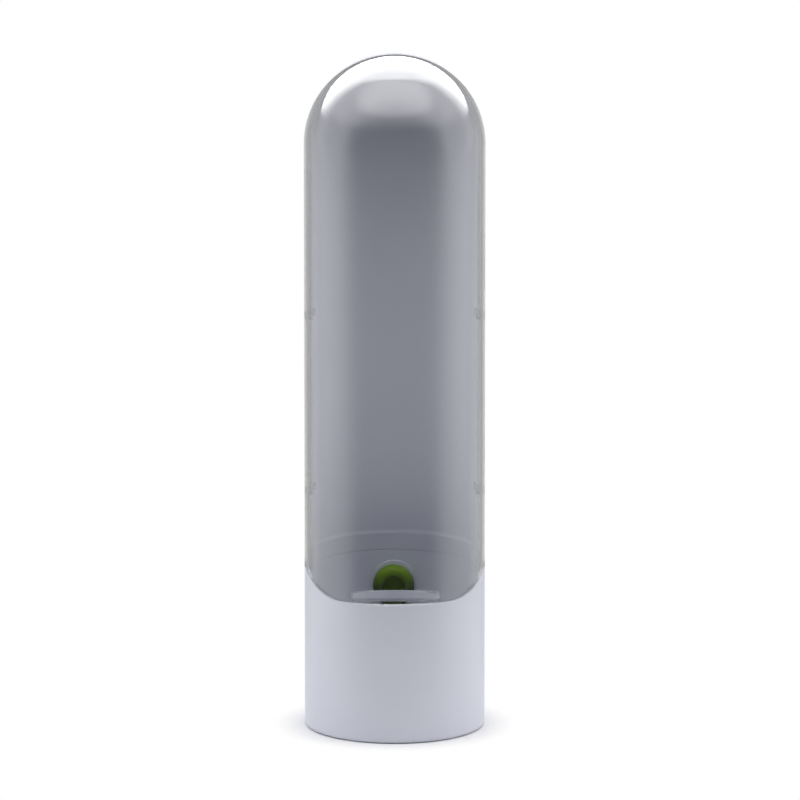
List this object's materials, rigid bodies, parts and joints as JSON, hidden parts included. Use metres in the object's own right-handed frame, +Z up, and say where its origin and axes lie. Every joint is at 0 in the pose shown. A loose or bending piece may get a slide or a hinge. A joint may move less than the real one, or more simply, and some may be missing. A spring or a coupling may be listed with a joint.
{
  "type": "herb keeper",
  "caption": "Slim upright herb keeper: a water cup with a sill, a domed white back, a clear pull-off front cover with a finger tab and a silicone water plug.",
  "frame": {"origin": "middle of the resting face, under the body's axis", "axes": "+Z up along the body's axis, -Y towards the clear front cover, +Y towards the water plug, +X to the right seen from the front"},
  "size_m": [0.065, 0.069, 0.245],
  "materials": {
    "white_plastic": "satin moulded",
    "clear_plastic": "polished clear",
    "green_silicone": "matte translucent"
  },
  "bodies": {
    "cup": {"base_cup": "white_plastic"},
    "housing": {"rear_shell": "white_plastic"},
    "cover": {"front_cover": "clear_plastic"},
    "plug": {"water_plug": "green_silicone"}
  },
  "joints": [
    {"name": "housing_lift", "type": "slide", "parent": "cup", "child": "housing", "axis": [0, 0, 1], "range_m": [0, 0.06]},
    {"name": "cover_pull", "type": "slide", "parent": "housing", "child": "cover", "axis": [0, -1, 0], "range_m": [0, 0.06]},
    {"name": "plug_pull", "type": "slide", "parent": "cup", "child": "plug", "axis": [0, 1, 0], "range_m": [0, 0.025]}
  ]
}
